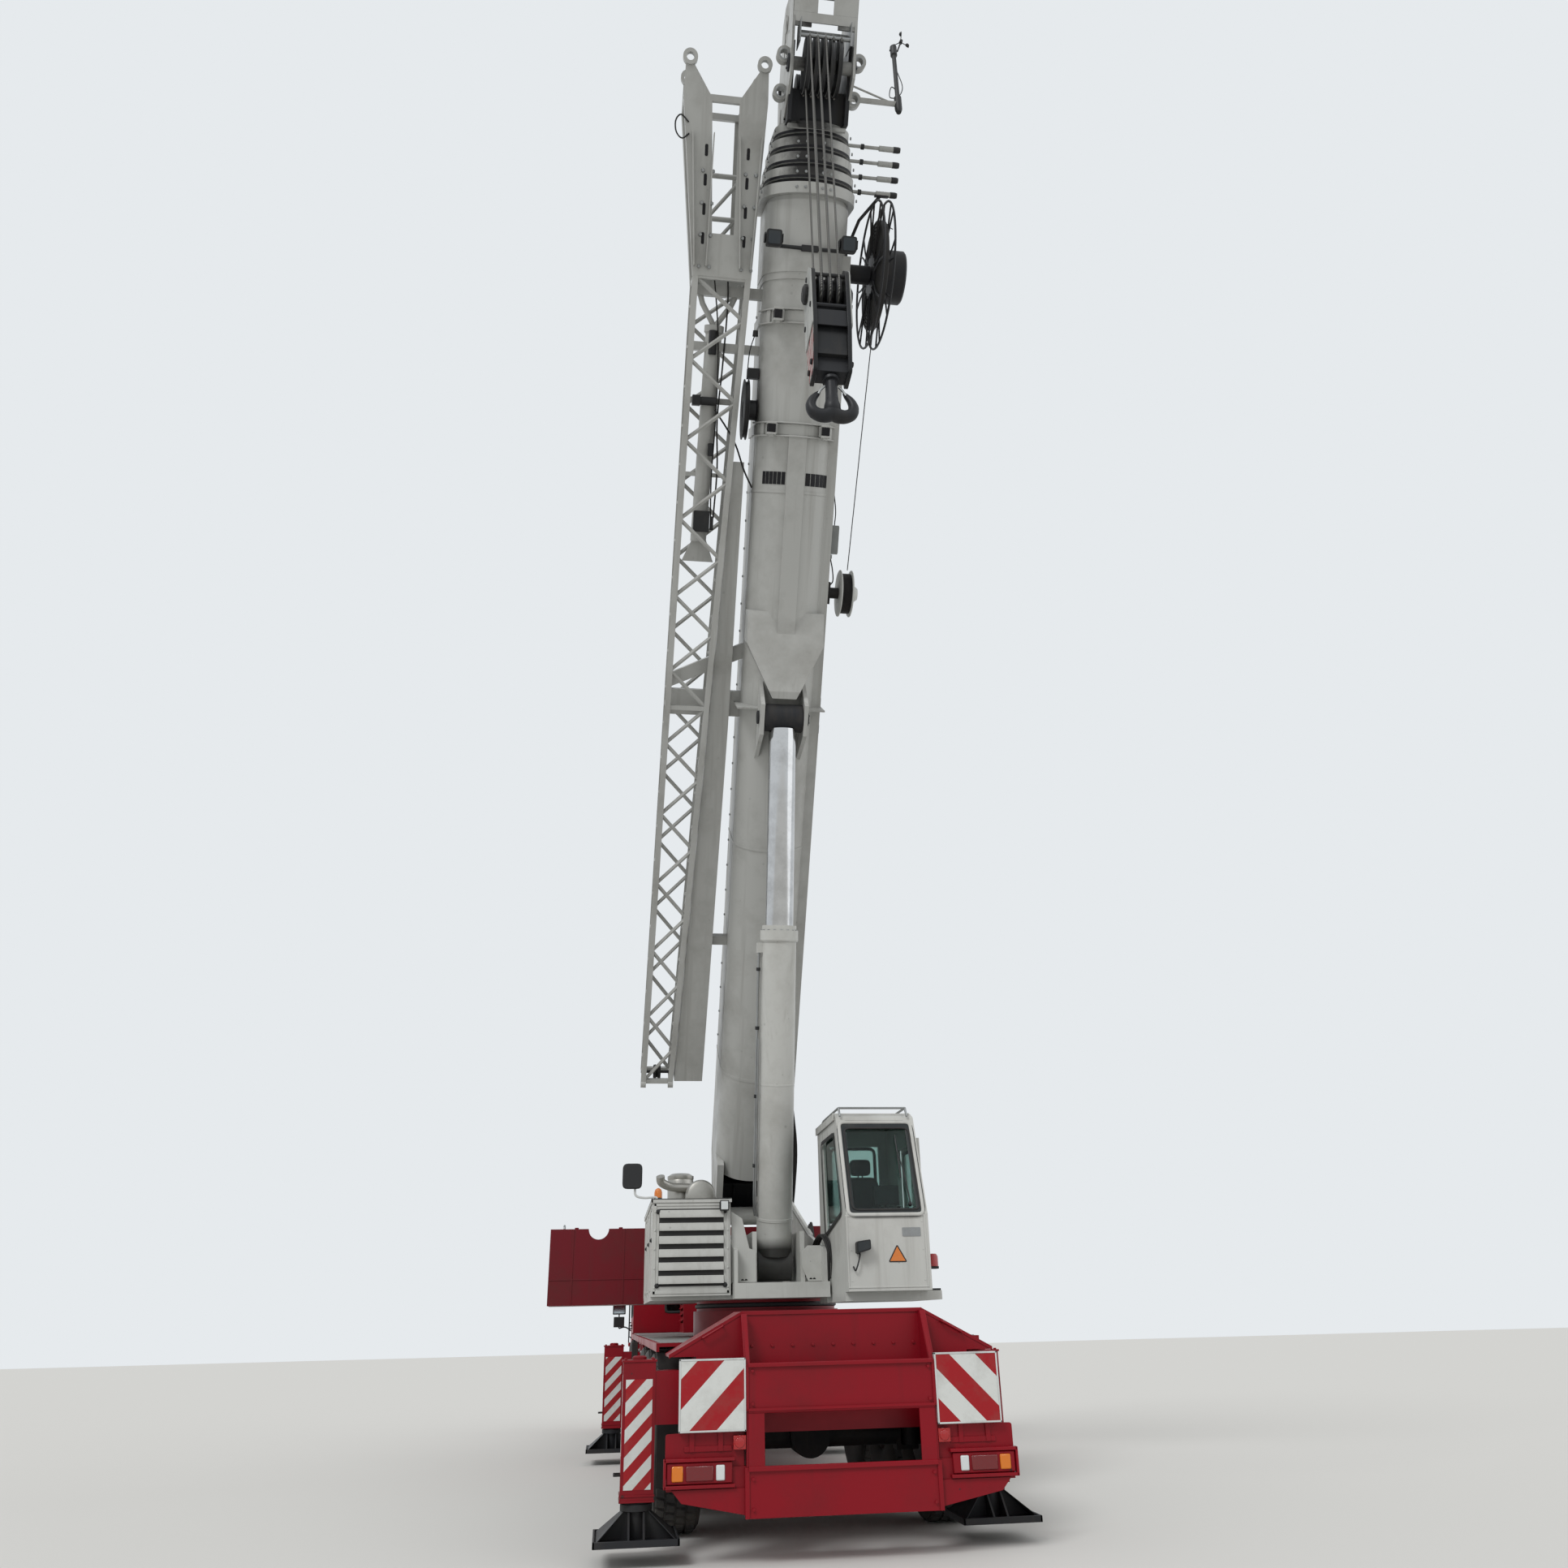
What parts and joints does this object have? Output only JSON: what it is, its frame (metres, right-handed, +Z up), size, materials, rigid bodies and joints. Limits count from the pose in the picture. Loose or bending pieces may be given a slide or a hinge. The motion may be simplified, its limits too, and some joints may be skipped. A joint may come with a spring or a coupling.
{
  "type": "mobile crane",
  "caption": "All-terrain mobile crane parked on its wheels, superstructure slewed over the tail, telescopic boom raised with a stowed fly jib and a hook block.",
  "frame": {"origin": "on the ground under the middle of the whole machine", "axes": "+Z up, +Y the way the carrier drives, +X its right-hand side"},
  "size_m": [5.58, 16.7328, 15.9195],
  "materials": {
    "red_paint": "gloss crimson paint, dusty",
    "dark_red_paint": "crimson paint over cast iron and concrete",
    "white_paint": "off-white paint with grey dirt",
    "boom_paint": "off-white paint, streaked",
    "grey_steel": "dark grey chassis paint",
    "dark_iron": "dark greased iron",
    "chrome_rod": "hard chrome",
    "glass": "green-tinted safety glass",
    "tyre": "worn rubber",
    "seat_cloth": "dark grey cloth",
    "black_plastic": "moulded black plastic",
    "board": "red and white reflective stripes"
  },
  "bodies": {
    "carrier": {"carrier_frame": "red_paint", "carrier_deck": "red_paint", "axle_beams": "grey_steel", "carrier_cab_shell": "red_paint", "carrier_cab_glass": "glass", "carrier_cab_seats": "seat_cloth", "carrier_cab_dash": "black_plastic", "carrier_engine": "dark_iron", "engine_cover": "red_paint", "rear_rack": "red_paint", "rear_boards_and_lamps": "board"},
    "door_left": {"carrier_door_left": "red_paint"},
    "door_right": {"carrier_door_right": "red_paint"},
    "turntable": {"turntable_frame": "white_paint", "counterweight": "dark_red_paint", "machinery_housing": "white_paint", "housing_fittings": "grey_steel", "crane_cab_shell": "white_paint", "crane_cab_glass": "glass", "crane_cab_seat": "seat_cloth", "crane_cab_console": "black_plastic"},
    "winch": {"hoist_winch": "dark_iron"},
    "operator_door": {"crane_cab_door": "white_paint"},
    "boom": {"boom_base": "boom_paint", "stowed_jib": "boom_paint", "boom_fittings": "black_plastic"},
    "reel": {"cable_reel": "black_plastic"},
    "ram_rod": {"luffing_rod": "chrome_rod"},
    "ram_barrel": {"luffing_barrel": "white_paint"},
    "hook_block": {"hook_block": "black_plastic"},
    "hook": {"double_hook": "dark_iron"},
    "section_1": {"boom_section_1": "boom_paint"},
    "section_2": {"boom_section_2": "boom_paint"},
    "section_3": {"boom_section_3": "boom_paint"},
    "section_4": {"boom_section_4": "boom_paint"},
    "section_5": {"boom_section_5": "boom_paint"},
    "wheel_1_left": {"wheel_1_left": "tyre"},
    "knuckle_1_left": {"knuckle_1_left": "dark_iron"},
    "wheel_1_right": {"wheel_1_right": "tyre"},
    "knuckle_1_right": {"knuckle_1_right": "dark_iron"},
    "wheel_2_left": {"wheel_2_left": "tyre"},
    "knuckle_2_left": {"knuckle_2_left": "dark_iron"},
    "wheel_2_right": {"wheel_2_right": "tyre"},
    "knuckle_2_right": {"knuckle_2_right": "dark_iron"},
    "wheel_3_left": {"wheel_3_left": "tyre"},
    "wheel_3_right": {"wheel_3_right": "tyre"},
    "wheel_4_left": {"wheel_4_left": "tyre"},
    "wheel_4_right": {"wheel_4_right": "tyre"},
    "wheel_5_left": {"wheel_5_left": "tyre"},
    "knuckle_5_left": {"knuckle_5_left": "dark_iron"},
    "wheel_5_right": {"wheel_5_right": "tyre"},
    "knuckle_5_right": {"knuckle_5_right": "dark_iron"},
    "beam_rear_left": {"outrigger_beam_rear_left": "red_paint"},
    "leg_rear_left": {"outrigger_leg_rear_left": "dark_iron"},
    "beam_rear_right": {"outrigger_beam_rear_right": "red_paint"},
    "leg_rear_right": {"outrigger_leg_rear_right": "dark_iron"},
    "beam_front_left": {"outrigger_beam_front_left": "red_paint"},
    "leg_front_left": {"outrigger_leg_front_left": "dark_iron"},
    "beam_front_right": {"outrigger_beam_front_right": "red_paint"},
    "leg_front_right": {"outrigger_leg_front_right": "dark_iron"}
  },
  "joints": [
    {"name": "steer_1_left", "type": "hinge", "parent": "carrier", "child": "knuckle_1_left", "pos_m": [-1, 6.19, 0.75], "axis": [0, 0, 1], "range_deg": [-32, 32]},
    {"name": "spin_1_left", "type": "hinge", "parent": "knuckle_1_left", "child": "wheel_1_left", "pos_m": [-1.27, 6.19, 0.75], "axis": [1, 0, 0], "continuous": true},
    {"name": "steer_1_right", "type": "hinge", "parent": "carrier", "child": "knuckle_1_right", "pos_m": [1, 6.19, 0.75], "axis": [0, 0, 1], "range_deg": [-32, 32]},
    {"name": "spin_1_right", "type": "hinge", "parent": "knuckle_1_right", "child": "wheel_1_right", "pos_m": [1.27, 6.19, 0.75], "axis": [1, 0, 0], "continuous": true},
    {"name": "steer_2_left", "type": "hinge", "parent": "carrier", "child": "knuckle_2_left", "pos_m": [-1, 4.24, 0.75], "axis": [0, 0, 1], "range_deg": [-24, 24]},
    {"name": "spin_2_left", "type": "hinge", "parent": "knuckle_2_left", "child": "wheel_2_left", "pos_m": [-1.27, 4.24, 0.75], "axis": [1, 0, 0], "continuous": true},
    {"name": "steer_2_right", "type": "hinge", "parent": "carrier", "child": "knuckle_2_right", "pos_m": [1, 4.24, 0.75], "axis": [0, 0, 1], "range_deg": [-24, 24]},
    {"name": "spin_2_right", "type": "hinge", "parent": "knuckle_2_right", "child": "wheel_2_right", "pos_m": [1.27, 4.24, 0.75], "axis": [1, 0, 0], "continuous": true},
    {"name": "spin_3_left", "type": "hinge", "parent": "carrier", "child": "wheel_3_left", "pos_m": [-1.27, -0.71, 0.75], "axis": [1, 0, 0], "continuous": true},
    {"name": "spin_3_right", "type": "hinge", "parent": "carrier", "child": "wheel_3_right", "pos_m": [1.27, -0.71, 0.75], "axis": [1, 0, 0], "continuous": true},
    {"name": "spin_4_left", "type": "hinge", "parent": "carrier", "child": "wheel_4_left", "pos_m": [-1.27, -2.41, 0.75], "axis": [1, 0, 0], "continuous": true},
    {"name": "spin_4_right", "type": "hinge", "parent": "carrier", "child": "wheel_4_right", "pos_m": [1.27, -2.41, 0.75], "axis": [1, 0, 0], "continuous": true},
    {"name": "steer_5_left", "type": "hinge", "parent": "carrier", "child": "knuckle_5_left", "pos_m": [-1, -4.11, 0.75], "axis": [0, 0, 1], "range_deg": [-20, 20]},
    {"name": "spin_5_left", "type": "hinge", "parent": "knuckle_5_left", "child": "wheel_5_left", "pos_m": [-1.27, -4.11, 0.75], "axis": [1, 0, 0], "continuous": true},
    {"name": "steer_5_right", "type": "hinge", "parent": "carrier", "child": "knuckle_5_right", "pos_m": [1, -4.11, 0.75], "axis": [0, 0, 1], "range_deg": [-20, 20]},
    {"name": "spin_5_right", "type": "hinge", "parent": "knuckle_5_right", "child": "wheel_5_right", "pos_m": [1.27, -4.11, 0.75], "axis": [1, 0, 0], "continuous": true},
    {"name": "extend_rear_left", "type": "slide", "parent": "carrier", "child": "beam_rear_left", "axis": [-1, 0, 0], "range_m": [-0.29, 1.81]},
    {"name": "lower_rear_left", "type": "slide", "parent": "beam_rear_left", "child": "leg_rear_left", "axis": [0, 0, -1], "range_m": [0, 0.6]},
    {"name": "extend_rear_right", "type": "slide", "parent": "carrier", "child": "beam_rear_right", "axis": [1, 0, 0], "range_m": [-0.07, 2.03]},
    {"name": "lower_rear_right", "type": "slide", "parent": "beam_rear_right", "child": "leg_rear_right", "axis": [0, 0, -1], "range_m": [0, 0.6]},
    {"name": "extend_front_left", "type": "slide", "parent": "carrier", "child": "beam_front_left", "axis": [-1, 0, 0], "range_m": [-0.45, 1.65]},
    {"name": "lower_front_left", "type": "slide", "parent": "beam_front_left", "child": "leg_front_left", "axis": [0, 0, -1], "range_m": [0, 0.6]},
    {"name": "extend_front_right", "type": "slide", "parent": "carrier", "child": "beam_front_right", "axis": [1, 0, 0], "range_m": [-0.07, 2.03]},
    {"name": "lower_front_right", "type": "slide", "parent": "beam_front_right", "child": "leg_front_right", "axis": [0, 0, -1], "range_m": [0, 0.6]},
    {"name": "open_left_door", "type": "hinge", "parent": "carrier", "child": "door_left", "pos_m": [-1.475, 8.056, 1.9], "axis": [0, 0, 1], "range_deg": [-70, 0]},
    {"name": "open_right_door", "type": "hinge", "parent": "carrier", "child": "door_right", "pos_m": [1.475, 8.056, 1.9], "axis": [0, 0, 1], "range_deg": [0, 70]},
    {"name": "slew", "type": "hinge", "parent": "carrier", "child": "turntable", "pos_m": [0, -0.96, 1.97], "axis": [0, 0, 1], "continuous": true},
    {"name": "slide_operator_door", "type": "slide", "parent": "turntable", "child": "operator_door", "axis": [0, 1, 0], "range_m": [0, 0.48]},
    {"name": "winch_spin", "type": "hinge", "parent": "turntable", "child": "winch", "pos_m": [0, 1.87, 2.62], "axis": [1, 0, 0], "continuous": true},
    {"name": "luff", "type": "hinge", "parent": "turntable", "child": "boom", "pos_m": [0, 1.04, 3.1], "axis": [-1, 0, 0], "range_deg": [-54, 28]},
    {"name": "reel_spin", "type": "hinge", "parent": "boom", "child": "reel", "pos_m": [0, -6.1469, 13.50231], "axis": [1, 0, 0], "continuous": true},
    {"name": "telescope_1", "type": "slide", "parent": "boom", "child": "section_1", "axis": [0, -0.5878, 0.809], "range_m": [0, 10.2]},
    {"name": "telescope_2", "type": "slide", "parent": "section_1", "child": "section_2", "axis": [0, -0.5878, 0.809], "range_m": [0, 10.2]},
    {"name": "telescope_3", "type": "slide", "parent": "section_2", "child": "section_3", "axis": [0, -0.5878, 0.809], "range_m": [0, 10.2]},
    {"name": "telescope_4", "type": "slide", "parent": "section_3", "child": "section_4", "axis": [0, -0.5878, 0.809], "range_m": [0, 10.2]},
    {"name": "telescope_5", "type": "slide", "parent": "section_4", "child": "section_5", "axis": [0, -0.5878, 0.809], "range_m": [0, 10.2]},
    {"name": "hook_plumb", "type": "hinge", "parent": "section_5", "child": "hook_block", "pos_m": [0, -7.86742, 14.79858], "axis": [-1, 0, 0], "range_deg": [-28.01, 54.01]},
    {"name": "hook_swivel", "type": "hinge", "parent": "hook_block", "child": "hook", "pos_m": [-0.088, -7.98242, 9.72858], "axis": [0, 0, 1], "continuous": true},
    {"name": "ram_swing", "type": "hinge", "parent": "boom", "child": "ram_rod", "pos_m": [0, -3.58443, 8.63985], "axis": [-1, 0, 0], "range_deg": [-16.77, 8.7]},
    {"name": "ram_stroke", "type": "slide", "parent": "ram_rod", "child": "ram_barrel", "axis": [0, 0.2715, -0.9624], "range_m": [-2.1783, 1.13]}
  ],
  "couplings": [
    {"joint": "steer_1_right", "follows": "steer_1_left", "ratio": 1},
    {"joint": "steer_2_left", "follows": "steer_1_left", "ratio": 0.75},
    {"joint": "steer_2_right", "follows": "steer_1_left", "ratio": 0.75},
    {"joint": "steer_5_left", "follows": "steer_1_left", "ratio": -0.625},
    {"joint": "steer_5_right", "follows": "steer_1_left", "ratio": -0.625},
    {"joint": "telescope_2", "follows": "telescope_1", "ratio": 1},
    {"joint": "telescope_3", "follows": "telescope_1", "ratio": 1},
    {"joint": "telescope_4", "follows": "telescope_1", "ratio": 1},
    {"joint": "telescope_5", "follows": "telescope_1", "ratio": 1},
    {"joint": "hook_plumb", "follows": "luff", "ratio": -1},
    {"joint": "ram_swing", "follows": "luff", "ratio": 0.3104},
    {"joint": "ram_stroke", "follows": "luff", "m_per_rad": 2.3102}
  ]
}
